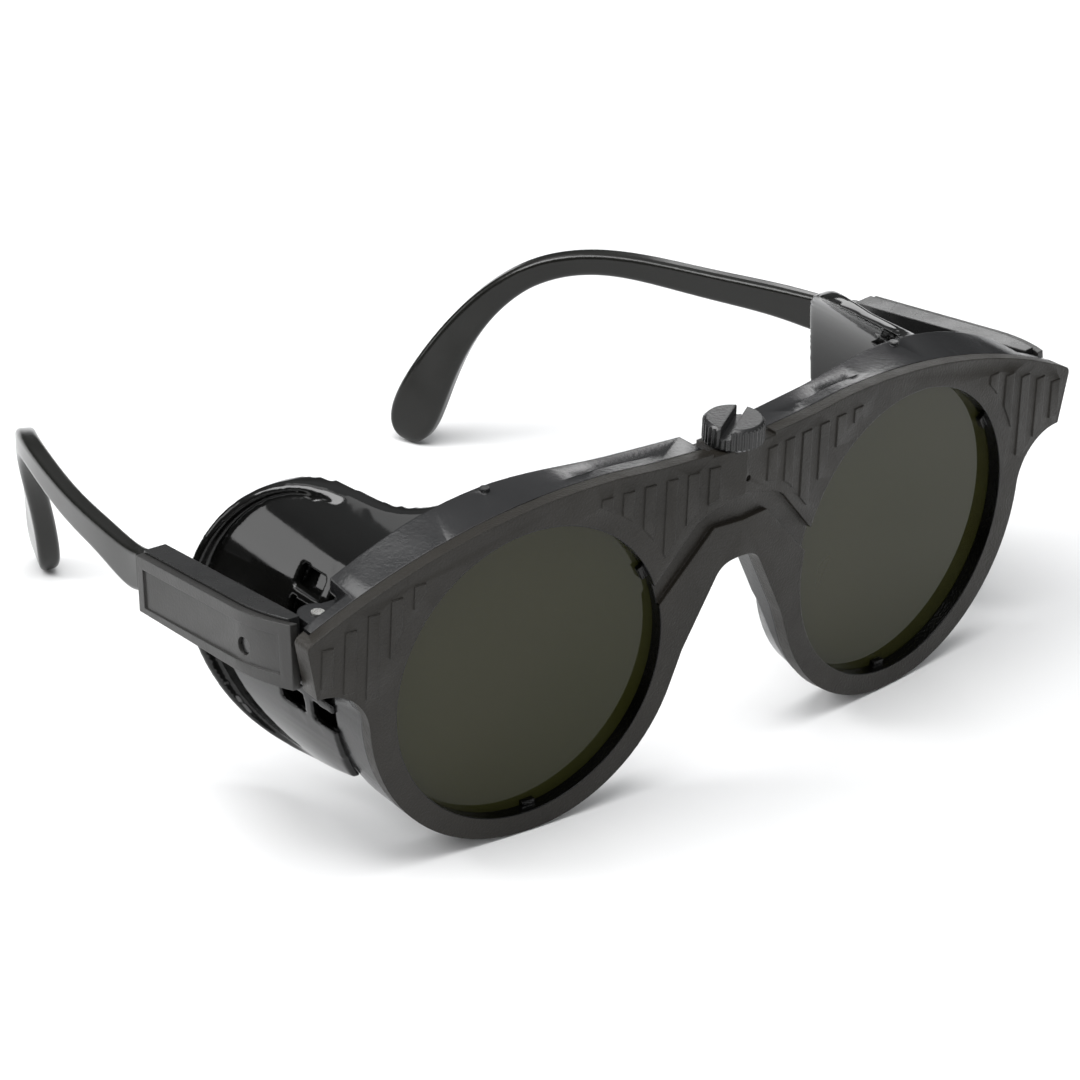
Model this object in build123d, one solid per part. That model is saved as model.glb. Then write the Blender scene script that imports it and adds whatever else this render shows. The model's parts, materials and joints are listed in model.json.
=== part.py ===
"""Welding goggles with round filter lenses, vented side shields and sliding temple arms.

The eyepiece is modelled with its lens centres at y = 0, z = 0, the wearer's left at +X, the
front at -Y and +Z up. Each half of the eyepiece is flat and turns back from a crease in the
centre plane, so it is drawn in the half's own plane: u along it, z up, and depth behind the
front face. At the end everything tips back until the rims and the arm tips rest on z = 0.
"""
import os
from math import atan2, cos, degrees, pi, radians, sin, sqrt

from build123d import *

# Eyepiece
WRAP = 5.844             # degrees that each half turns back
CREASE_Y = -3.84         # the centre crease, in front of the lens centres
LENS_U = 37.76           # lens centre from the crease
OPENING_R = 23.5         # lens opening
LENS_R = 25.0            # 50 mm round lenses
SEAT_R = 25.15           # bore that the lenses sit in
RIM_R = 27.0             # outside of the rim around each lens
TOP_Z = 27.8             # top edge at the bridge
BROW_U, BROW_Z, BROW_R = 24.0, 28.2, 113.0    # top edge: highest point and its arc
END_U = 76.95            # where the top edge ends at the temple

RIB_W, RIB_RISE, RIB_PITCH = 2.0, 0.2, 3.9    # raised bars on the front face
NASAL_RIB_U, TEMPLE_RIB_U = 5.8, 57.9    # the innermost bar on each side of the lens
RIB_TOP_GAP = 2.7        # from the bars to the top edge

# Depths behind the front face
PLATE_T = 2.2            # front frame's plate
FILTER_T = (2.3, 5.2)    # filter lens
INNER_T = (5.25, 6.45)   # clear lens behind it
LIP_T = (6.5, 7.3)       # rear frame's lip behind the lenses
LIP_R = 25.6             # outside of the rim at the lip: it tapers towards the back
SIDE_T = 9.4             # rear frame's deepest wall, at the temple side
BAND_T = 8.5             # rear frame's top band, at the temple side
BAND_BRIDGE_T = 6.9      # and at the bridge
NOSE_T = 5.2             # rear frame over the nose
NOSE_FOOT_Z = -17.0      # where its wall runs out
END_WALL_T = 3.6         # front frame's wall at the temple end
PILLAR_AT, PILLAR_R, PILLAR_Z = (63.7, 6.0), 4.0, (2.0, 18.0)    # rear frame's rounded temple corner
SEAM = 0.05              # gap between parts that come apart

# Thumb screw at the top of the bridge
SCREW_Y = -0.6
SHANK_R = 1.25
HEAD_R, HEAD_Z, HEAD_H = 4.7, 27.62, 3.4
INSERT_R, INSERT_Z = 1.75, (20.8, 25.8)
BOSS_Z = 25.9            # top of the rear frame's boss
BOSS_FOOT_Z = 20.2
TONGUE_T = 1.1           # front frame's tongue between the boss and the washer
WASHER_R, WASHER_T = 3.6, 0.5
GAP_HALF = 6.5           # half of the gap in the top band that the head sits in

# Hinge
PIN_X, PIN_Y, PIN_R = 69.6, 10.3, 1.0
PIN_Z = (5.3, 16.25)
KNUCKLE_Z = (7.8, 13.8)
LUG_Z = ((5.5, 7.6), (14.0, 16.0))
KNUCKLE_R = 2.9
RUNNING = 0.04           # radial clearance of the hinge pin

# Temple holder, in its own frame: X outward from the cover's face, Y back, Z down from its top
HOLDER_AT = (77.7, 14.0, 16.2)
HOLDER_YAW, HOLDER_PITCH = 5.0, -6.96
COVER_T = 1.3
HOLDER_INNER_X = -5.1
HOLDER_Y = (-3.2, 32.4)
COVER_Y = (-4.6, 32.4)
COVER_BEND_Y, COVER_BEND = 8.0, 2.5
ARM_X = (-4.05, -1.45)
ARM_Z = (-7.4, -1.1)
ARM_IN_Y, ARM_OUT_Y = 6.5, 35.0    # the arm's straight part
SLIDE = 0.12             # gap around the arm in its channel
CATCH_YZ, CATCH_R = (4.75, -6.0), 1.25

# Side shield: a slightly conical shell about the lens axis
SHIELD_T = 1.3
SHIELD_R0, SHIELD_R1 = 28.5, 30.2
SHIELD_BACK = 46.0
FLANGE_T, FLANGE_R = (18.0, 46.0), (28.4, 32.8)    # the flange's edge widens towards the back
FLANGE_INSET = 0.96      # the flange lies outside the side outline scaled by this
VENT_Y = ((12.0, 17.5), (19.5, 25.5))
VENT_H, VENT_Z = 3.2, (11.5, 7.0, 2.5, -2.0, -6.5)    # height, and where each row starts
BAFFLE_IN = (2.3, 3.1)   # the plate behind the vents, from the shell's outside
BAFFLE_Y, BAFFLE_Z, BAFFLE_RIB = (12.0, 27.0), (-9.0, 17.0), 0.9

# Free part of a temple arm: centre x, y, z, height, thickness, turn of its outer face
ARM_PATH = [
    (69.4, 60.0, 6.6, 5.6, 2.7, 13),
    (66.2, 72.0, 5.8, 4.9, 2.8, 16),
    (62.3, 84.0, 5.2, 4.4, 2.9, 20),
    (58.7, 93.0, 4.4, 4.0, 3.1, 25),
    (55.2, 99.6, 2.6, 4.0, 3.2, 29),
    (51.4, 105.0, -0.6, 4.2, 3.3, 31),
    (48.2, 109.0, -5.0, 4.7, 3.4, 30),
    (44.6, 112.6, -11.5, 5.8, 3.5, 27),
    (41.6, 115.0, -18.5, 7.4, 3.6, 23),
    (39.4, 116.8, -25.5, 8.6, 3.7, 21),
    (38.2, 117.8, -30.2, 6.6, 3.1, 21),
    (37.9, 118.1, -31.9, 2.6, 1.6, 21),
]
TIP_Y = 118.0            # where an arm touches down
RIM_BOTTOM = -26.7


def brow_z(u):
    """Height of the front frame's top edge."""
    return BROW_Z - BROW_R + sqrt(BROW_R ** 2 - (u - BROW_U) ** 2)


def slab(face, near, far):
    """A (u, z) face made solid between two depths."""
    return Pos(0, near, 0) * extrude(Plane.XZ * face, amount=near - far)


def disc(radius, near, far, u=LENS_U, z=0.0):
    """A cylinder along the lens axis between two depths."""
    return slab(Pos(u, z) * Circle(radius), near, far)


def polygon(*points):
    """A flat face with straight edges."""
    return make_face(Polyline(*points, close=True))


def box(x, y, z):
    """A box between limits."""
    size = [high - low for low, high in (x, y, z)]
    return Pos(*[(low + high) / 2 for low, high in (x, y, z)]) * Box(*size)


def post(x, y, radius, z):
    """An upright cylinder between two heights."""
    return Pos(x, y, (z[0] + z[1]) / 2) * Cylinder(radius, z[1] - z[0])


def wrap(shape):
    """Turn a half's own frame into the eyepiece frame."""
    return Pos(0, CREASE_Y, 0) * Rot(0, 0, WRAP) * shape


def unwrap(x, y):
    """The u and depth of a point of the eyepiece frame."""
    turn = radians(WRAP)
    return (x * cos(turn) + (y - CREASE_Y) * sin(turn), (y - CREASE_Y) * cos(turn) - x * sin(turn))


def both_halves(half):
    """One half, cut at the centre plane and joined to its mirror image."""
    half = wrap(half) & box((0, 100), (-60, 100), (-60, 60))
    return half + mirror(half, Plane.YZ)


def front_outline():
    """The front frame's half outline, from the bridge round the temple end and the rim to the nose."""
    edges = [
        Line((0, TOP_Z), (14, TOP_Z)),
        Spline((14, TOP_Z), (BROW_U, BROW_Z), tangents=((1, 0), (1, 0))),
        ThreePointArc((BROW_U, BROW_Z), (52, brow_z(52)), (END_U, brow_z(END_U))),
        Line((END_U, brow_z(END_U)), (75.0, 6.2)),
        Line((75.0, 6.2), (74.5, 6.2)),
        ThreePointArc((74.5, 6.2), (68.3, 3.75), (65.65, -2.34)),
        ThreePointArc((65.65, -2.34), (57.6, -18.7), (38.3, RIM_BOTTOM)),
        ThreePointArc((38.3, RIM_BOTTOM), (17.9, -18.5), (12.0, -8.9)),
        Line((12.0, -8.9), (10.1, -3.8)),
        Line((10.1, -3.8), (3.5, 8.8)),
        Line((3.5, 8.8), (0, 9.3)),
        Line((0, 9.3), (0, TOP_Z)),
    ]
    face = make_face(edges)
    corner = face.vertices().sort_by_distance((END_U, brow_z(END_U)))[0]
    face = fillet(corner, 1.2)
    return fillet(face.vertices().sort_by_distance((3.5, 8.8))[0], 4.0)


def chevron():
    """The groove over the nose, out to the lens opening."""
    edges = [
        Line((-2, 15.3), (5.3, 15.3)),
        Line((5.3, 15.3), (16.9, 2.6)),
        Line((16.9, 2.6), (18.5, 5.3)),
        Line((18.5, 5.3), (9.2, 16.2)),
        Spline((9.2, 16.2), (4.5, 18.6), (0, 19.6), tangents=((-0.65, 0.76), (-1, 0))),
        Line((0, 19.6), (-2, 19.6)),
        Line((-2, 19.6), (-2, 15.3)),
    ]
    return make_face(edges)


def ribs():
    """Raised upright bars on both sides of each lens."""
    nasal = [NASAL_RIB_U + RIB_PITCH * i for i in range(6)]
    temple = [TEMPLE_RIB_U + RIB_PITCH * i for i in range(5)]
    bars = []
    for u in nasal + temple:
        top = brow_z(max(u, BROW_U)) - RIB_TOP_GAP
        over_groove = 17.7 - 1.17 * (max(u, 8.0) - 9.2)
        foot = over_groove if u < LENS_U else 0.5 * (u - TEMPLE_RIB_U)
        bars.append(slab(Pos(u, (top + foot) / 2) * Rectangle(RIB_W, top - foot), -RIB_RISE, 0.3))
    clear = disc(26.8, -1, 1) + slab(Pos(1.1, 1.3) * chevron(), -1, 1)
    return [bar - clear for bar in bars]


def front_frame():
    outline = front_outline()
    half = slab(outline, 0, PLATE_T)
    half += ribs()
    half += slab(polygon((75.3, 16), (79, 16), (79, 5), (73.75, 5)) & outline, PLATE_T, END_WALL_T)
    half -= disc(OPENING_R, -1, PLATE_T + 1)
    half -= slab(chevron(), -1, 0.8)
    half = both_halves(half)
    half -= box((-GAP_HALF + 0.3, GAP_HALF - 0.3), (-9, 20), (27.3, 40))
    half -= box((-4.2, 4.2), (SCREW_Y - 2.4, 8), (BOSS_FOOT_Z - 0.3, BOSS_Z + SEAM))
    half += box((-4.0, 4.0), (CREASE_Y + 1.5, 3.0), (BOSS_Z + SEAM, BOSS_Z + TONGUE_T))
    half -= post(0, SCREW_Y, WASHER_R + 0.15, (BOSS_Z + TONGUE_T, 29))
    half -= box((-SHANK_R - 0.15, SHANK_R + 0.15), (SCREW_Y, 9), (24, 29))
    half -= post(0, SCREW_Y, SHANK_R + 0.15, (24, 29))
    dimple = Pos(0.6, CREASE_Y, 22) * Rot(90, 0, 0) * Cylinder(0.5, 1.2)
    return half - dimple


def tabs():
    """Small tabs on the walls of both lens openings."""
    tab = slab(Pos(OPENING_R - 0.2, 0) * Rectangle(1.4, 2.2), 1.3, PLATE_T)
    left = [wrap(Pos(LENS_U, 0, 0) * Rot(0, -angle, 0) * tab) for angle in (30, 153, 266)]
    return left + [mirror(piece, Plane.YZ) for piece in left]


def band_section(depth, rise):
    """The top band's section at a depth: it swells above the front frame's edge towards the back."""
    def top(u):
        edge = TOP_Z if u < BROW_U else brow_z(u)
        return edge + rise * sin(pi * max(u - 22, 0) / 58) ** 2
    stations = (12, 22, 34, 44, 54, 62)
    upper = [(GAP_HALF, TOP_Z)] + [(u, top(u)) for u in stations] + [(67.7, top(67.7))]
    lower = [(u, z - 2.2) for u, z in upper]
    edges = [Spline(*upper), Line(upper[-1], lower[-1]), Spline(*reversed(lower)), Line(lower[0], upper[0])]
    return Pos(0, depth, 0) * (Plane.XZ * make_face(edges))


def rear_outline():
    """The web behind the front plate, inside the front frame's end wall."""
    keep = polygon((0, 40), (74.9, 40), (74.9, 16), (73.55, 6.4), (70.0, 5.0), (62, -4), (62, -40), (0, -40))
    return front_outline() & keep


def plan_prism(points, low, high):
    """A (u, depth) outline made solid between two heights."""
    return extrude(Pos(0, 0, low) * polygon(*points), amount=high - low)


def side_wall():
    """The rim's outer wall, flush with the front frame, which deepens towards the temple."""
    face = front_outline() & (Pos(38.6, 0.5) * Circle(27.2))
    wall = slab(face, PLATE_T + SEAM, SIDE_T) - disc(SEAT_R, 0, SIDE_T + 1)
    return wall - plan_prism([(0, 4.2), (38, 5.2), (62, SIDE_T), (62, 12), (0, 12)], -40, 40)


def nose_wall(outline):
    """A thin wall along the nose, which runs out towards the bottom of the rim."""
    foot = NOSE_FOOT_Z
    wall = (outline - offset(outline, amount=-1.8)) & polygon((0, 12), (20, 12), (20, foot), (0, foot))
    wall = slab(wall, PLATE_T + SEAM, NOSE_T)
    slope = polygon((NOSE_T, -2), (PLATE_T + SEAM, foot - 0.2), (9, foot - 0.2), (9, -2))
    return wall - extrude(Plane.YZ * slope, amount=25)


def rear_frame():
    outline = front_outline()
    inside = rear_outline()
    half = slab(inside, PLATE_T + SEAM, 4.2) - disc(RIM_R + 1, PLATE_T, 5, u=LENS_U, z=-14)
    half += cone(RIM_R - 0.1, LIP_R, PLATE_T + SEAM, LIP_T[1])
    half += side_wall()
    band = loft([band_section(PLATE_T + SEAM, 0), band_section(BAND_T, 1.7)], ruled=True)
    half += band - plan_prism([(0, BAND_BRIDGE_T), (40, BAND_T), (40, 12), (0, 12)], 15, 40)
    half += nose_wall(outline)
    half += post(*PILLAR_AT, PILLAR_R, PILLAR_Z) & box((60, 70), (PLATE_T + SEAM, 12), (-4, 20))
    half += post(41.9, 7.5, 0.75, (26.5, 28.4))
    for z in LUG_Z:
        half += box((66.0, 73.6), (PLATE_T + SEAM, 7.0), z)
        half += post(*unwrap(PIN_X, PIN_Y), 3.0, z)
        half += box((66.0, 70.7), (PLATE_T + SEAM, 9.2), z)
    half -= disc(SEAT_R, 0, LIP_T[0])
    half -= disc(OPENING_R, 0, SIDE_T + 3)
    half -= post(*unwrap(PIN_X, PIN_Y), PIN_R, (0, 20))
    half -= box((68.0, 80), (3.4, 12), (LUG_Z[0][1], LUG_Z[1][0]))
    half -= post(*unwrap(PIN_X, PIN_Y), KNUCKLE_R + 0.35, (LUG_Z[0][1], LUG_Z[1][0]))
    frame = both_halves(half)
    frame -= box((-GAP_HALF, GAP_HALF), (-9, 20), (BOSS_Z, 40))
    frame += box((-3.9, 3.9), (SCREW_Y - 2.3, SCREW_Y + 4.4), (BOSS_FOOT_Z, BOSS_Z))
    return frame - post(0, SCREW_Y, INSERT_R, (INSERT_Z[0], 40))


def screw_parts():
    """Thumb screw with a knurled, slotted head, its washer, and the brass insert."""
    head = post(0, 0, HEAD_R, (0, HEAD_H))
    head = chamfer(head.edges().group_by(Axis.Z)[-1], 0.5)
    count = 36
    flutes = [Rot(0, 0, 360 / count * i) * post(HEAD_R + 0.12, 0, 0.32, (-1, HEAD_H + 1)) for i in range(count)]
    head -= flutes
    head -= Rot(0, 0, 32) * box((-9, 9), (-0.85, 0.85), (HEAD_H - 1.7, HEAD_H + 1))
    screw = head + post(0, 0, SHANK_R, (21.2 - HEAD_Z, 0.5))
    screw = Pos(0, SCREW_Y, HEAD_Z) * screw
    washer_z = (BOSS_Z + TONGUE_T + 0.02, BOSS_Z + TONGUE_T + 0.02 + WASHER_T)
    washer = post(0, SCREW_Y, WASHER_R, washer_z) - post(0, SCREW_Y, SHANK_R + 0.1, (20, 40))
    insert = post(0, SCREW_Y, INSERT_R, INSERT_Z) - post(0, SCREW_Y, SHANK_R + 0.03, (10, 40))
    return {"thumb_screw": screw, "screw_washer": washer, "screw_insert": insert}


def lens(depths):
    """A round lens with bevelled edges."""
    blank = disc(LENS_R, *depths)
    return chamfer(blank.edges(), 0.3)


def shield_outline():
    """The shield seen from the side, as a (y, z) face: back edge, then the root at the frame."""
    rim = [(10, 26.6), (27, 23.6), (38, 21.2), (43, 16.6), (46, 10), (47, 2), (44, -7.9), (36.8, -17.7),
           (29, -19.8), (20.7, -18.3), (12, -15.2)]
    return make_face([Spline(*rim), Line(rim[-1], (2, -12)), Line((2, -12), (2, 28)), Line((2, 28), rim[0])])


def cone(base, top, near, far):
    """A conical disc along the lens axis."""
    solid = Cone(base, top, far - near)
    return Pos(LENS_U, (near + far) / 2, 0) * Rot(-90, 0, 0) * solid


def shield_cone(inset):
    """The cone that lies inset from the outside of the shield's shell."""
    near, far = BAND_T + SEAM, 60.0
    growth = (SHIELD_R1 - SHIELD_R0) / (SHIELD_BACK - near)
    base = SHIELD_R0 - inset
    return wrap(cone(base, base + growth * (far - near), near, far))


def baffle():
    """A plate behind the vents, which stops light, on ribs round three of its edges."""
    reach = box((50, 90), BAFFLE_Y, BAFFLE_Z)
    inside = box((40, 99), (0, BAFFLE_Y[1] - BAFFLE_RIB), (BAFFLE_Z[0] + BAFFLE_RIB, BAFFLE_Z[1] - BAFFLE_RIB))
    plate = (shield_cone(BAFFLE_IN[0]) - shield_cone(BAFFLE_IN[1])) & reach
    ribs = (shield_cone(SHIELD_T - 0.1) - shield_cone(BAFFLE_IN[1])) & (reach - inside)
    return plate + ribs


def side_shield():
    """A vented shell that reaches back from the rim, with a flange along its back edge."""
    side = Plane.YZ * shield_outline()
    reach = extrude(side, amount=100) & box((43, 100), (0, 100), (-40, 40))
    core = extrude(Plane.YZ * scale(shield_outline(), by=FLANGE_INSET), amount=100)
    hollow = shield_cone(SHIELD_T)
    shield = (shield_cone(0) - hollow) & reach
    shield += (wrap(cone(*FLANGE_R, *FLANGE_T)) - hollow) & (reach - core)
    for start, end in VENT_Y:
        for low in VENT_Z:
            shield -= box((50, 90), (start, end), (low, low + VENT_H))
    shield += baffle()
    shield -= wrap(slab(Pos(70, 0) * Rectangle(60, 44), 0, SIDE_T + SEAM))
    return shield - wrap(post(*PILLAR_AT, PILLAR_R + SEAM, (PILLAR_Z[0] - SEAM, PILLAR_Z[1] + SEAM)))


def seat(shape):
    """Put a shape of the holder's own frame into the eyepiece frame."""
    return Pos(*HOLDER_AT) * Rot(0, 0, HOLDER_YAW) * Rot(HOLDER_PITCH, 0, 0) * shape


def cover_skin(outer, inner):
    """Plan of a layer of the cover between two distances from its outer face."""
    front, back = COVER_Y
    side = -inner
    edges = [
        Line((outer, back), (outer, COVER_BEND_Y)),
        ThreePointArc((outer, COVER_BEND_Y), (outer - 0.24 * COVER_BEND, 1.2), (outer - COVER_BEND, front)),
        Line((outer - COVER_BEND, front), (side - COVER_BEND, front)),
        ThreePointArc((side - COVER_BEND, front), (side - 0.24 * COVER_BEND, 1.2), (side, COVER_BEND_Y)),
        Line((side, COVER_BEND_Y), (side, back)),
        Line((side, back), (outer, back)),
    ]
    return make_face(edges)


def holder_side(top, bottom_front, bottom_back):
    """Side view of the holder, as a (Y, Z) face."""
    front, back = COVER_Y
    return polygon((front, top), (back, top), (back, bottom_back), (front, bottom_front))


def holder_cover():
    """A curved outer plate with a sunk panel and a round hole for the catch."""
    profile = extrude(Plane.YZ * holder_side(-0.4, -10.5, -9.3), amount=10, both=True)
    cover = extrude(Pos(0, 0, -20) * cover_skin(0, COVER_T), amount=40) & profile
    window = box((-6, 6), (COVER_Y[0] + 2.0, COVER_Y[1] - 1.5), (-8.4, -2.3))
    cover -= (extrude(Pos(0, 0, -20) * cover_skin(2.0, 0.35), amount=40)) & window
    hole = Pos(0, *CATCH_YZ) * Rot(0, 90, 0) * Cylinder(CATCH_R + 0.1, 20)
    return cover - hole


def length_catch():
    """The stud in the cover's hole that bears on the arm."""
    return Pos(-1.1, *CATCH_YZ) * Rot(0, 90, 0) * Cylinder(CATCH_R, 0.5)


def temple_holder():
    """A channel for the arm, closed outside by the cover, with a knuckle on the hinge pin."""
    profile = extrude(Plane.YZ * holder_side(0, -10.2, -9.1), amount=12, both=True)
    front, back = HOLDER_Y
    solid = box((HOLDER_INNER_X, 2), (front, back), (-20, 5)) & profile
    solid -= extrude(Pos(0, 0, -20) * cover_skin(9.0, COVER_T + SEAM), amount=40)
    channel = box((ARM_X[0] - SLIDE, 3), (0.5, 40), (ARM_Z[0] - SLIDE, ARM_Z[1] + SLIDE))
    holder = seat(solid - channel)
    knuckle = post(PIN_X, PIN_Y, KNUCKLE_R, KNUCKLE_Z)
    knuckle += box((PIN_X, 73.4), (PIN_Y - 2.4, PIN_Y + 2.9), KNUCKLE_Z)
    holder += knuckle
    for z in LUG_Z:
        holder -= post(PIN_X, PIN_Y, 3.35, (z[0] - 0.18, z[1] + 1.5))
    return holder - post(PIN_X, PIN_Y, PIN_R + RUNNING, (0, 20))


def arm_sections():
    """Rounded sections of the free arm, square to its path."""
    outlet = (Pos(*HOLDER_AT) * Rot(0, 0, HOLDER_YAW) * Rot(HOLDER_PITCH, 0, 0)
              * Pos(sum(ARM_X) / 2, ARM_OUT_Y, sum(ARM_Z) / 2)).position
    start = (*outlet, ARM_Z[1] - ARM_Z[0], ARM_X[1] - ARM_X[0], HOLDER_YAW)
    path = [start] + ARM_PATH
    points = [Vector(*row[:3]) for row in path]
    heading = Vector(0, 1, 0).rotate(Axis.X, HOLDER_PITCH).rotate(Axis.Z, HOLDER_YAW)
    sections = []
    for i, (x, y, z, height, thickness, turn) in enumerate(path):
        if i > 0:
            heading = points[min(i + 1, len(points) - 1)] - points[i - 1]
        face_out = Vector(cos(radians(turn)), sin(radians(turn)), 0)
        up = face_out.cross(heading.normalized())
        section = RectangleRounded(height, thickness, 0.3 * thickness)
        sections.append(Plane(origin=(x, y, z), x_dir=up, z_dir=heading) * section)
    return sections


def temple_arm():
    """A thin arm: straight where it slides in the holder, then curving in and down to a paddle."""
    sections = arm_sections()
    straight = extrude(sections[0], amount=ARM_IN_Y - ARM_OUT_Y)
    return straight + loft(sections)


def hinge_pin():
    return post(PIN_X, PIN_Y, PIN_R, PIN_Z)


def make_parts():
    parts = {"front_frame": front_frame() + tabs(), "rear_frame": rear_frame()}
    parts.update(screw_parts())
    left = {
        "filter_lens": wrap(lens(FILTER_T)),
        "inner_lens": wrap(lens(INNER_T)),
        "side_shield": side_shield(),
        "hinge_pin": hinge_pin(),
        "temple_holder": temple_holder(),
        "holder_cover": seat(holder_cover()),
        "length_catch": seat(length_catch()),
        "temple_arm": temple_arm(),
    }
    for name, shape in left.items():
        parts[name + "_left"] = shape
        parts[name + "_right"] = mirror(shape, Plane.YZ)
    return parts


def stand(parts):
    """Tip everything back and put the middle of its footprint at the origin."""
    arm_bottom = parts["temple_arm_left"].bounding_box().min.Z
    lean = degrees(atan2(RIM_BOTTOM - arm_bottom, TIP_Y))
    tipped = {name: Rot(lean, 0, 0) * shape for name, shape in parts.items()}
    limits = [shape.bounding_box() for shape in tipped.values()]
    front = min(limit.min.Y for limit in limits)
    back = max(limit.max.Y for limit in limits)
    floor = min(limit.min.Z for limit in limits)
    shift = Pos(0, -(front + back) / 2, -floor)
    return {name: shift * shape for name, shape in tipped.items()}


if __name__ == "__main__":
    os.makedirs("parts", exist_ok=True)
    for name, shape in stand(make_parts()).items():
        export_step(shape, f"parts/{name}.step")
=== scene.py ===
"""The looks of a pair of welding goggles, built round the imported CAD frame.

Every CAD node keeps its place. The moulded pieces are shown by copies of their meshes with
rounded edges, and every surface gets a procedural material. Lengths are in metres.
"""
import json
from math import radians

import bmesh
import bpy
from mathutils import Matrix, Vector

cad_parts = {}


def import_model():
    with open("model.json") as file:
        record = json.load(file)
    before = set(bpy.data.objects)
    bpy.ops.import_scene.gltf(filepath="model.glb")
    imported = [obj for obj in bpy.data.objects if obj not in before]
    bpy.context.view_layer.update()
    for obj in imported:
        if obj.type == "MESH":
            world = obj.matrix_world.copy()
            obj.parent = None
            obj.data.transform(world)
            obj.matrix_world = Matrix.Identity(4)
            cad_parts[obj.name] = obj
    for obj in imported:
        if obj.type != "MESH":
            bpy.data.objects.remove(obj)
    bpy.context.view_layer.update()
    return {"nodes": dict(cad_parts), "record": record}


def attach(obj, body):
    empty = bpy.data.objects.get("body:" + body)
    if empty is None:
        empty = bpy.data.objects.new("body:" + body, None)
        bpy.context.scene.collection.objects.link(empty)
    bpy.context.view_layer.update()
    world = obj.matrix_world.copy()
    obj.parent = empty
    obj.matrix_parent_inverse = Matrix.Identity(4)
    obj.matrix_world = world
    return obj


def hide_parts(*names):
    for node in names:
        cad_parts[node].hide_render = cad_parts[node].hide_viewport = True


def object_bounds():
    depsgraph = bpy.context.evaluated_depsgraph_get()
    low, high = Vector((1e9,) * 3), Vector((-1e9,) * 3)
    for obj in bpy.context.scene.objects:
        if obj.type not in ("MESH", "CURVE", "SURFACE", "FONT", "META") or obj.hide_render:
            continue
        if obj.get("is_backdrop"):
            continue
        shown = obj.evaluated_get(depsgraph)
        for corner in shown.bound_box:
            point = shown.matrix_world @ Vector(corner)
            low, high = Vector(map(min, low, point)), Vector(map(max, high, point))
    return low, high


SIDES = ("left", "right")

# Camera: where it stands and how it is turned, in the CAD frame
CAMERA_AT = (-0.54947, -0.64891, 0.42396)
CAMERA_RIGHT = (0.75722, -0.65312, 0.00761)
CAMERA_UP = (0.27758, 0.33232, 0.90140)
CAMERA_BACK = (-0.59125, -0.68044, 0.43293)
FOCAL, SENSOR = 200.0, 36.0     # in millimetres
CLIP_START = 0.01

# Noise: octaves of detail, the part of its range that is used, and where a colour ramp starts
# and ends
BROAD, SOFT, PLAIN, FINE = 1.0, 2.0, 3.0, 6.0
NOISE_LOW, NOISE_HIGH = 0.3, 0.7
RAMP_STOPS = (0.35, 0.65)

# Plastics: colour, specular level, roughness, height of the moulded grain, size of its grains
PLASTICS = {
    "front": ((0.0118, 0.0102, 0.0078), 0.29, 0.40, 0.00008, 0.00035),
    "rear": ((0.010, 0.010, 0.0105), 0.38, 0.20, 0.00002, 0.0006),
    "shield": ((0.003, 0.003, 0.0028), 0.34, 0.07, 0.00001, 0.004),
    "holder": ((0.013, 0.013, 0.013), 0.50, 0.26, 0.00002, 0.0006),
    "cover": ((0.018, 0.0175, 0.0165), 0.50, 0.36, 0.00004, 0.0004),
    "arm": ((0.006, 0.006, 0.005), 0.33, 0.17, 0.00001, 0.003),
    "screw": ((0.010, 0.010, 0.010), 0.50, 0.22, 0.00002, 0.0005),
}
IOR = 1.5                       # plastics and glass
DRIFT_SIZE, DRIFT = 0.012, 1.25                 # slow colour drift, and its lighter end
MARKS_SIZE, MARKS = 0.005, (0.85, 1.2)          # handling marks, as shares of the roughness

# Metals: colour, roughness
METALS = {
    "washer_steel": ((0.25, 0.25, 0.26), 0.35),
    "brass": ((0.72, 0.52, 0.24), 0.3),
    "pin_steel": ((0.72, 0.71, 0.68), 0.3),
}
TARNISH_SIZE, TARNISH = 0.0009, 0.8             # darker patches of the metals
SCRATCH_SIZE, SCRATCH_H = 0.0002, 0.00001       # fine scratches of the metals
SCRATCHES = (0.7, 1.4)                          # their range, as shares of the roughness

# Glass: the ends of the filters' colour range, and the clear glass's colour and haze
FILTER_SHADES = ((0.019, 0.020, 0.005), (0.022, 0.022, 0.007))
FILTER_LEVEL, FILTER_ROUGHNESS = 0.27, 0.04
STREAK_SIZE, STREAK_H = 0.02, 0.00001
CLEAR_COLOUR = (0.93, 0.96, 0.94, 1)
CLEAR_HAZE = 0.03
MELT_SIZE = 0.03                # slow changes in either glass

# Edges and clean-up of the copied meshes
EDGE_R = 0.0003                 # rounding of the moulded edges, in the shader
BEVEL = {
    "front_frame": 0.0003,
    "rear_frame": 0.00025,
    "holder_cover": 0.0002,
    "temple_holder": 0.0002,
}
BEVEL_SEGMENTS = 2
BEVEL_ANGLE = radians(40)       # edges that turn by more are rounded
SHARP_ANGLE = radians(38)       # edges that turn by more are shaded as corners
FLAT_ANGLE = radians(0.6)       # faces that turn by less are joined into one
WELD = 1e-6                     # points closer than this become one

# Left lens opening, on the front face; the walls of both openings get painted shade, darker than
# the face
LENS_CENTRE = (0.037564, -0.057917, 0.026766)
LENS_AXIS = (0.10182, -0.993712, -0.046563)
OPENING_R = 0.0235
# The walls' painted shade fades out between these distances past the wall; the colour below is that
# painted shade, and the lower roughness is the walls' own
BORE_SHADE_FADE = (0.00005, 0.0002)   # the darker wall fades out between these distances past it
BORE_SHADE_COLOUR, BORE_ROUGHNESS = (0.0008, 0.0008, 0.0007, 1), 0.12

# Side shield: the block of the shell that holds the vents keeps its edges, and the rest is smoothed
VOXEL, SMOOTH_ROUNDS = 0.00032, 26
SMOOTH_FACTOR = 0.5
VENTS_BACK, VENTS_LOW, VENTS_HIGH = -0.0310, 0.016, 0.045

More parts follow.
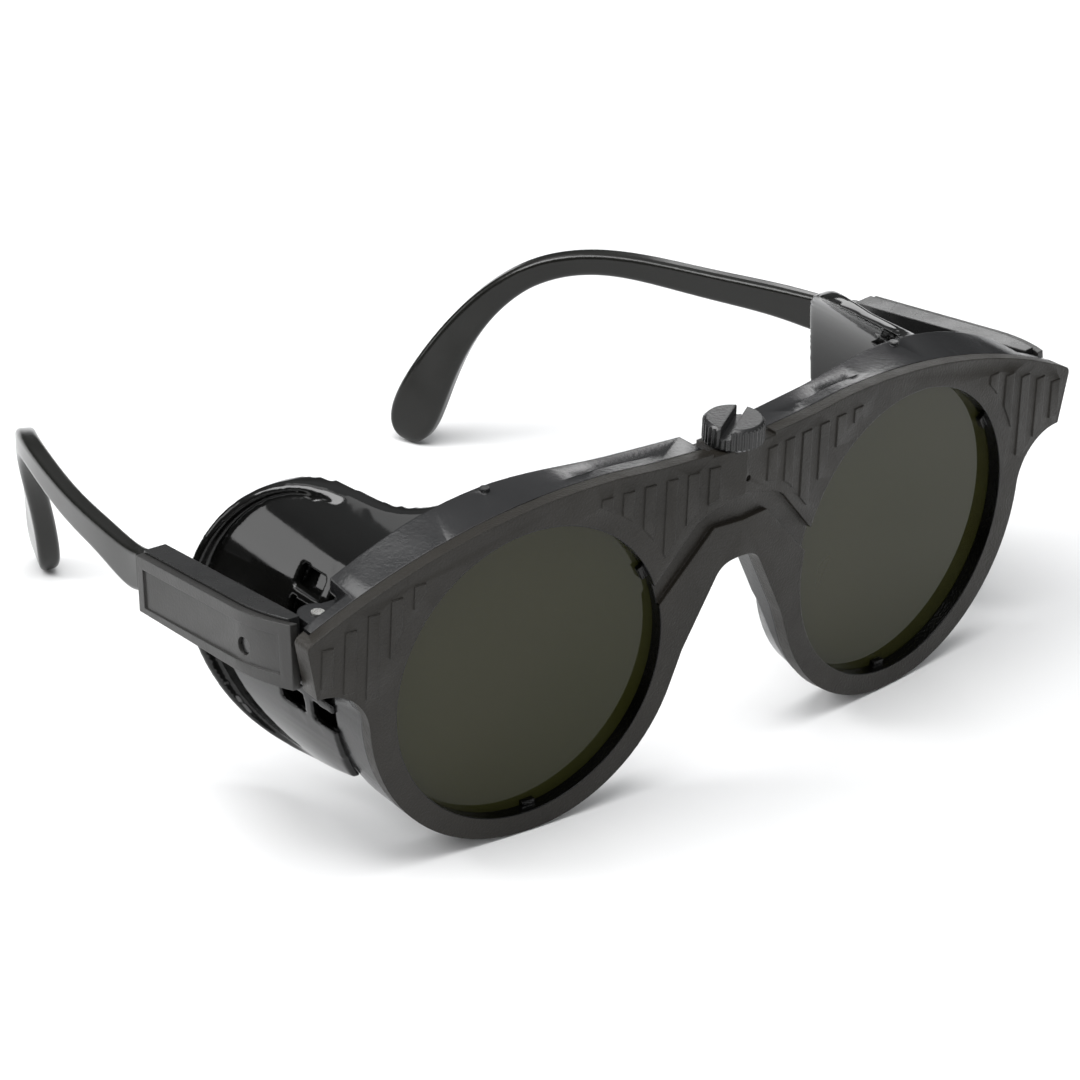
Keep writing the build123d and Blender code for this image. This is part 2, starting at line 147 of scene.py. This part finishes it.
# Studio
FLOOR_HALF, FLOOR_GAP = 6, 0.0001               # half its width, and its drop below the object
FLOOR_SHADES = ((0.80, 0.80, 0.80), (0.83, 0.83, 0.83))
FLOOR_ROUGHNESS, FLOOR_DRIFT_SIZE = 0.8, 0.4
ROOM_COLOUR = (0.96, 0.98, 1.0, 1)
ROOM_STRENGTH, ROOM_HEIGHTS = (0.10, 0.75), (0.25, 0.95)
CENTRE = (0, 0, 0.03)           # what most softboxes face

# Softboxes: place, width and height, power, what it faces
SOFTBOXES = {
    "overhead": ((-0.15, -0.10, 0.90), (0.8, 0.6), 8.0, CENTRE),
    "back_left": ((-0.79, 0.87, 0.35), (0.34, 0.38), 1.4, CENTRE),
    "back_high": ((-0.25, 0.73, 0.95), (0.40, 0.22), 0.5, CENTRE),
    "back_right": ((0.85, 0.70, 0.48), (0.30, 0.30), 0.9, CENTRE),
    "left_table": ((-0.50, 0.30, 0.55), (0.30, 0.30), 3.0, (-0.15, 0.08, 0.0)),
    "front_fill": ((-0.60, -1.30, 0.60), (0.6, 0.6), 4.0, CENTRE),
}


# ---------------------------------------------------------------- node helpers

def new_material(name):
    """An empty material and its node tree."""
    material = bpy.data.materials.new(name)
    material.use_nodes = True
    material.node_tree.nodes.clear()
    return material, material.node_tree


def add(tree, kind, **values):
    """A node with some of its inputs set."""
    node = tree.nodes.new(kind)
    for name, value in values.items():
        node.inputs[name.replace("_", " ")].default_value = value
    return node


def noise(tree, size, detail=PLAIN):
    """Noise with features of about that size, in the object's own coordinates."""
    place = tree.nodes.new("ShaderNodeTexCoord")
    texture = add(tree, "ShaderNodeTexNoise", Scale=1.0 / size, Detail=detail)
    tree.links.new(place.outputs["Object"], texture.inputs["Vector"])
    return texture.outputs["Fac"]


def spread(tree, source, low, high, start=NOISE_LOW, end=NOISE_HIGH):
    """A value that runs from low to high as the source goes from start to end."""
    node = add(tree, "ShaderNodeMapRange")
    for index, value in ((1, start), (2, end), (3, low), (4, high)):
        node.inputs[index].default_value = value
    tree.links.new(source, node.inputs[0])
    return node.outputs[0]


def ramp(tree, source, low, high):
    """A colour that runs from low to high with the source."""
    node = tree.nodes.new("ShaderNodeValToRGB")
    for element, place, colour in zip(node.color_ramp.elements, RAMP_STOPS, (low, high)):
        element.position = place
        element.color = (*colour, 1)
    tree.links.new(source, node.inputs["Fac"])
    return node.outputs["Color"]


def bump(tree, source, height, below=None):
    """A normal with small relief, laid over another normal."""
    node = add(tree, "ShaderNodeBump", Distance=height)
    tree.links.new(source, node.inputs["Height"])
    if below is not None:
        tree.links.new(below, node.inputs["Normal"])
    return node.outputs["Normal"]


def shader(tree, **values):
    """The surface shader, joined to the material's output."""
    surface = add(tree, "ShaderNodeBsdfPrincipled", **values)
    output = tree.nodes.new("ShaderNodeOutputMaterial")
    tree.links.new(surface.outputs[0], output.inputs["Surface"])
    return surface


# ---------------------------------------------------------------- materials

def plastic(name, colour, level, roughness, height, grain):
    """Moulded black plastic: fine grain, slow colour drift, and handling marks in the gloss."""
    material, tree = new_material(name)
    surface = shader(tree, IOR=IOR, Specular_IOR_Level=level)
    lighter = [channel * DRIFT for channel in colour]
    shades = ramp(tree, noise(tree, DRIFT_SIZE), colour, lighter)
    tree.links.new(shades, surface.inputs["Base Color"])
    low, high = [roughness * share for share in MARKS]
    marks = spread(tree, noise(tree, MARKS_SIZE, FINE), low, high)
    tree.links.new(marks, surface.inputs["Roughness"])
    rounded = add(tree, "ShaderNodeBevel", Radius=EDGE_R).outputs[0]
    tree.links.new(bump(tree, noise(tree, grain), height, rounded), surface.inputs["Normal"])
    return material


def filter_glass():
    """Dark green welding filter, polished, with faint streaks in the melt."""
    material, tree = new_material("filter_glass")
    surface = shader(tree, Roughness=FILTER_ROUGHNESS, IOR=IOR, Specular_IOR_Level=FILTER_LEVEL)
    shades = ramp(tree, noise(tree, MELT_SIZE, BROAD), *FILTER_SHADES)
    tree.links.new(shades, surface.inputs["Base Color"])
    streaks = bump(tree, noise(tree, STREAK_SIZE, BROAD), STREAK_H)
    tree.links.new(streaks, surface.inputs["Normal"])
    return material


def clear_glass():
    """Clear cover glass with a trace of haze."""
    material, tree = new_material("clear_glass")
    surface = shader(tree, IOR=IOR, Transmission_Weight=1.0, Base_Color=CLEAR_COLOUR)
    haze = spread(tree, noise(tree, MELT_SIZE, SOFT), 0.0, CLEAR_HAZE)
    tree.links.new(haze, surface.inputs["Roughness"])
    return material


def metal(name, colour, roughness):
    """Turned metal with fine scratches."""
    material, tree = new_material(name)
    surface = shader(tree, Metallic=1.0)
    darker = [channel * TARNISH for channel in colour]
    shades = ramp(tree, noise(tree, TARNISH_SIZE), darker, colour)
    tree.links.new(shades, surface.inputs["Base Color"])
    low, high = [roughness * share for share in SCRATCHES]
    marks = spread(tree, noise(tree, SCRATCH_SIZE, FINE), low, high)
    tree.links.new(marks, surface.inputs["Roughness"])
    tree.links.new(bump(tree, noise(tree, SCRATCH_SIZE), SCRATCH_H), surface.inputs["Normal"])
    return material


def floor_material():
    """Pale matt studio floor."""
    material, tree = new_material("floor")
    surface = shader(tree, Roughness=FLOOR_ROUGHNESS)
    shades = ramp(tree, noise(tree, FLOOR_DRIFT_SIZE), *FLOOR_SHADES)
    tree.links.new(shades, surface.inputs["Base Color"])
    return material


def bore_shade_mask(tree):
    """1 inside a lens opening, up to its wall, and 0 outside it: where the painted shade on the
    walls goes.

    The measure is the distance from the lens axis. The absolute value of each coordinate folds
    the right opening onto the left one, so one axis serves both, with its Y turned to match.
    """
    place = tree.nodes.new("ShaderNodeTexCoord")
    link = place.outputs["Object"]
    centre = [abs(value) for value in LENS_CENTRE]
    axis = (LENS_AXIS[0], -LENS_AXIS[1], LENS_AXIS[2])
    steps = (("ABSOLUTE", None), ("SUBTRACT", centre), ("CROSS_PRODUCT", axis), ("LENGTH", None))
    for step, other in steps:
        node = tree.nodes.new("ShaderNodeVectorMath")
        node.operation = step
        tree.links.new(link, node.inputs[0])
        if other:
            node.inputs[1].default_value = other
        link = node.outputs["Value" if step == "LENGTH" else "Vector"]
    start, end = [OPENING_R + past for past in BORE_SHADE_FADE]
    return spread(tree, link, 1.0, 0.0, start, end)


def mix(tree, kind, factor, first, second):
    """A mix of two values or colours; either may be a link or a plain value."""
    node = tree.nodes.new("ShaderNodeMix")
    node.data_type = kind
    base = {"FLOAT": 2, "RGBA": 6}[kind]
    tree.links.new(factor, node.inputs[0])
    for index, value in ((base, first), (base + 1, second)):
        if isinstance(value, bpy.types.NodeSocket):
            tree.links.new(value, node.inputs[index])
        else:
            node.inputs[index].default_value = value
    return node.outputs[{"FLOAT": 0, "RGBA": 2}[kind]]


def paint_bore_shade(material):
    """The walls of the lens openings are smoother than the face, and painted darker as shade in the
    recess.
    """
    tree = material.node_tree
    surface = next(node for node in tree.nodes if node.type == "BSDF_PRINCIPLED")
    mask = bore_shade_mask(tree)
    # Painted shade: the walls' colour is darkened; their lower roughness is real
    walls = (("Base Color", "RGBA", BORE_SHADE_COLOUR), ("Roughness", "FLOAT", BORE_ROUGHNESS))
    for name, kind, inside in walls:
        outside = surface.inputs[name].links[0].from_socket
        tree.links.new(mix(tree, kind, mask, outside, inside), surface.inputs[name])


# ---------------------------------------------------------------- pieces

def copy_of(nodes, name):
    """A new object with a cleaned copy of a CAD node's mesh: no split points, flat faces whole."""
    mesh = nodes[name].data.copy()
    shape = bmesh.new()
    shape.from_mesh(mesh)
    bmesh.ops.remove_doubles(shape, verts=shape.verts, dist=WELD)
    bmesh.ops.dissolve_limit(shape, angle_limit=FLAT_ANGLE, verts=shape.verts, edges=shape.edges)
    shape.to_mesh(mesh)
    shape.free()
    piece = bpy.data.objects.new(name + "_skin", mesh)
    bpy.context.collection.objects.link(piece)
    return piece


def stand_in(piece, name, facts):
    """The piece takes the place of the CAD node, on its body and with its finish."""
    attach(piece, facts[name]["body"])
    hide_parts(name)


def shade(mesh):
    """Smooth shading that keeps the sharp corners."""
    mesh.shade_smooth()
    mesh.set_sharp_from_angle(angle=SHARP_ANGLE)


def rounded(nodes, name, width):
    """A copy with its sharp edges rounded."""
    piece = copy_of(nodes, name)
    shade(piece.data)
    bevel = piece.modifiers.new("edges", "BEVEL")
    bevel.width, bevel.segments = width, BEVEL_SEGMENTS
    bevel.limit_method, bevel.angle_limit = "ANGLE", BEVEL_ANGLE
    bevel.harden_normals = True
    bevel.miter_outer = "MITER_ARC"
    return piece


def flowing_shield(nodes, name):
    """A side shield whose flange flows out of the shell, with crisp vents."""
    piece = copy_of(nodes, name)
    remesh = piece.modifiers.new("voxels", "REMESH")
    remesh.mode, remesh.voxel_size, remesh.use_smooth_shade = "VOXEL", VOXEL, True
    bpy.context.view_layer.update()
    seen = piece.evaluated_get(bpy.context.evaluated_depsgraph_get())
    mesh = bpy.data.meshes.new_from_object(seen)
    piece.modifiers.clear()
    piece.data = mesh
    group = piece.vertex_groups.new(name="flow")
    free = [v.index for v in mesh.vertices
            if v.co.y > VENTS_BACK or not VENTS_LOW < v.co.z < VENTS_HIGH]
    group.add(free, 1.0, "REPLACE")
    smooth = piece.modifiers.new("flow", "SMOOTH")
    smooth.factor, smooth.iterations = SMOOTH_FACTOR, SMOOTH_ROUNDS
    smooth.vertex_group = "flow"
    return piece


def paint(nodes, name, material):
    """Give a CAD node its material."""
    mesh = nodes[name].data
    mesh.materials.clear()
    mesh.materials.append(material)


def dress(nodes):
    """Every CAD node gets its finish."""
    plastics = {name: plastic(name, *look) for name, look in PLASTICS.items()}
    metals = {name: metal(name, *look) for name, look in METALS.items()}
    single = {
        "front_frame": plastics["front"],
        "rear_frame": plastics["rear"],
        "thumb_screw": plastics["screw"],
        "screw_washer": metals["washer_steel"],
        "screw_insert": metals["brass"],
    }
    paired = {
        "filter_lens": filter_glass(),
        "inner_lens": clear_glass(),
        "side_shield": plastics["shield"],
        "hinge_pin": metals["pin_steel"],
        "temple_holder": plastics["holder"],
        "holder_cover": plastics["cover"],
        "length_catch": plastics["screw"],
        "temple_arm": plastics["arm"],
    }
    # The walls of the lens openings get painted shade
    paint_bore_shade(plastics["front"])
    for name, material in single.items():
        paint(nodes, name, material)
    for name, material in paired.items():
        for side in SIDES:
            paint(nodes, f"{name}_{side}", material)


def facts_of(record):
    """Each node's body and material slot."""
    facts = {row["node"]: {"slot": row["material_slot"]} for row in record["subparts"]}
    for body, names in record["behaviour"]["bodies"].items():
        for name in names:
            facts[name]["body"] = body
    return facts


def reshape(frame):
    """Moulded pieces are shown by copies with softened shapes."""
    nodes, facts = frame["nodes"], facts_of(frame["record"])
    for name in facts:
        kind = name.removesuffix("_left").removesuffix("_right")
        if kind in BEVEL:
            stand_in(rounded(nodes, name, BEVEL[kind]), name, facts)
        if kind == "side_shield":
            stand_in(flowing_shield(nodes, name), name, facts)


# ---------------------------------------------------------------- studio

def floor():
    """A wide pale floor just under the object."""
    low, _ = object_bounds()
    mesh = bpy.data.meshes.new("floor")
    turns = ((-1, -1), (1, -1), (1, 1), (-1, 1))
    corners = [(x * FLOOR_HALF, y * FLOOR_HALF, low.z - FLOOR_GAP) for x, y in turns]
    mesh.from_pydata(corners, [], [(0, 1, 2, 3)])
    mesh.materials.append(floor_material())
    plane = bpy.data.objects.new("floor", mesh)
    bpy.context.collection.objects.link(plane)
    plane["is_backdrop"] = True


def softbox(name, place, size, power, aim):
    """A rectangular area light that faces the aim."""
    lamp = bpy.data.lights.new(name, "AREA")
    lamp.shape = "RECTANGLE"
    lamp.size, lamp.size_y = size
    lamp.energy = power
    light = bpy.data.objects.new(name, lamp)
    bpy.context.collection.objects.link(light)
    light.location = place
    light.rotation_euler = (Vector(aim) - Vector(place)).to_track_quat("-Z", "Y").to_euler()


def surroundings():
    """A room that is dim at eye height and brighter overhead."""
    world = bpy.data.worlds.new("studio")
    world.use_nodes = True
    tree = world.node_tree
    background = tree.nodes["Background"]
    background.inputs["Color"].default_value = ROOM_COLOUR
    place = tree.nodes.new("ShaderNodeTexCoord")
    split = tree.nodes.new("ShaderNodeSeparateXYZ")
    tree.links.new(place.outputs["Generated"], split.inputs[0])
    strength = spread(tree, split.outputs["Z"], *ROOM_STRENGTH, *ROOM_HEIGHTS)
    tree.links.new(strength, background.inputs["Strength"])
    bpy.context.scene.world = world


def studio():
    """Plain studio light: one large softbox above, and others whose reflections shape the gloss."""
    surroundings()
    bpy.context.scene.view_settings.view_transform = "Standard"
    for name, box in SOFTBOXES.items():
        softbox(name, *box)


def camera():
    """A long lens that looks down at the object from the front, on its right side."""
    data = bpy.data.cameras.new("camera")
    data.lens, data.sensor_width = FOCAL, SENSOR
    data.clip_start = CLIP_START
    shooter = bpy.data.objects.new("camera", data)
    bpy.context.collection.objects.link(shooter)
    turn = Matrix((CAMERA_RIGHT, CAMERA_UP, CAMERA_BACK)).transposed()
    shooter.matrix_world = Matrix.Translation(CAMERA_AT) @ turn.to_4x4()
    bpy.context.scene.camera = shooter


def main():
    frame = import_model()
    dress(frame["nodes"])
    reshape(frame)
    floor()
    studio()
    camera()


main()
